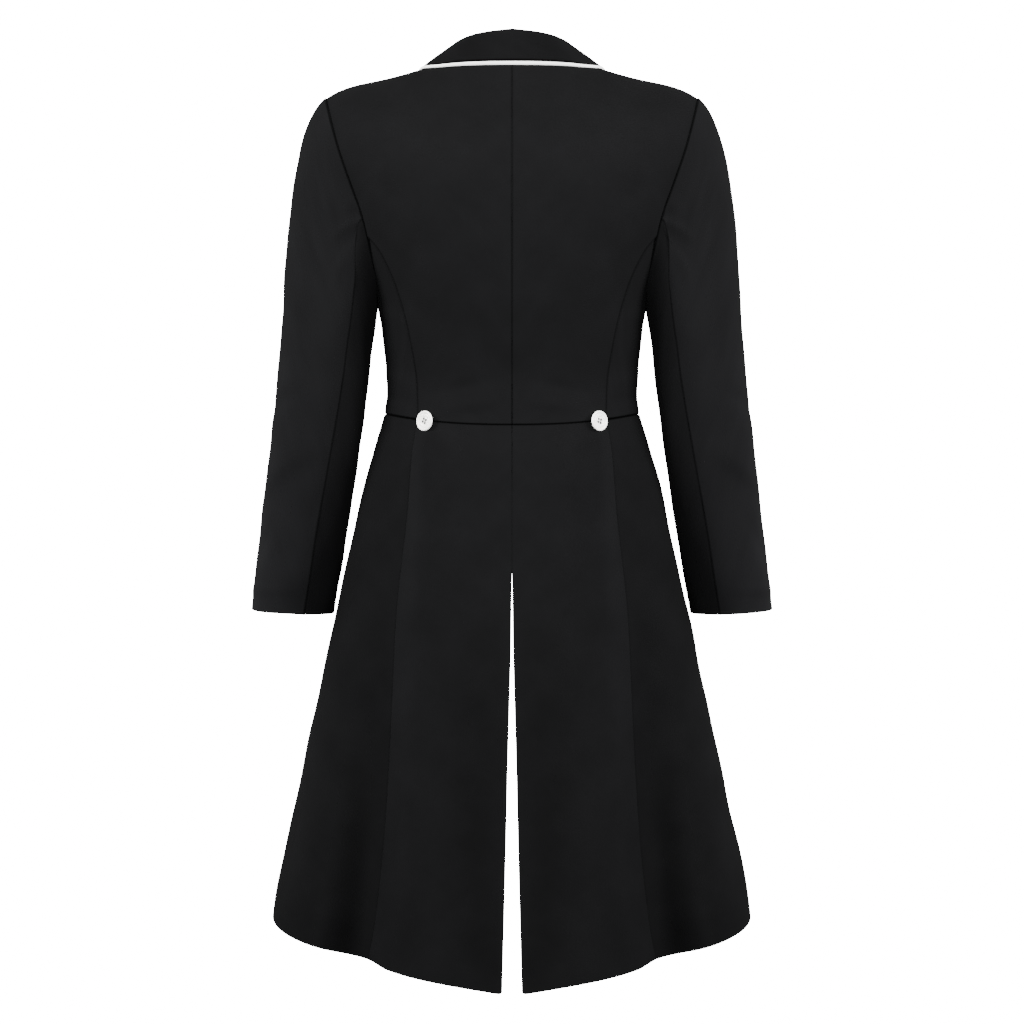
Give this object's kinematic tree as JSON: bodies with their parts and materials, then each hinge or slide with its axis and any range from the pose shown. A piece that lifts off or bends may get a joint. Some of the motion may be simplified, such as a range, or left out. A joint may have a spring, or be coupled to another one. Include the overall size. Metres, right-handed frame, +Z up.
{
  "type": "dressage tailcoat",
  "caption": "Long-tailed riding coat for dressage, in dark wool with a white-piped turned collar, plain cuffs and a centre back vent, shown filled out as worn.",
  "frame": {"origin": "centre of the neck opening, at the level of the neck points where the shoulder seams end, where the wearer's shoulders carry the coat", "axes": "+Z up the wearer's spine, +Y towards the wearer's back, +X towards the wearer's left"},
  "size_m": [0.551, 0.3285, 0.9996],
  "materials": {
    "wool_cloth": "matte wool twill",
    "piping_cloth": "matte satin",
    "button_resin": "soft pearl gloss"
  },
  "bodies": {
    "root": {"back_left": "wool_cloth", "back_right": "wool_cloth", "button_back_left": "button_resin", "button_back_right": "button_resin", "button_front_1": "button_resin", "button_front_2": "button_resin", "button_front_3": "button_resin", "collar_fall": "wool_cloth", "collar_piping": "piping_cloth", "collar_stand": "wool_cloth", "front_left": "wool_cloth", "front_right": "wool_cloth", "lapel_left": "wool_cloth", "lapel_right": "wool_cloth", "side_body_left": "wool_cloth", "side_body_right": "wool_cloth", "skirt_back_left": "wool_cloth", "skirt_back_right": "wool_cloth", "skirt_side_left": "wool_cloth", "skirt_side_right": "wool_cloth", "sleeve_under_left": "wool_cloth", "sleeve_under_right": "wool_cloth", "sleeve_upper_left": "wool_cloth", "sleeve_upper_right": "wool_cloth"}
  },
  "joints": []
}
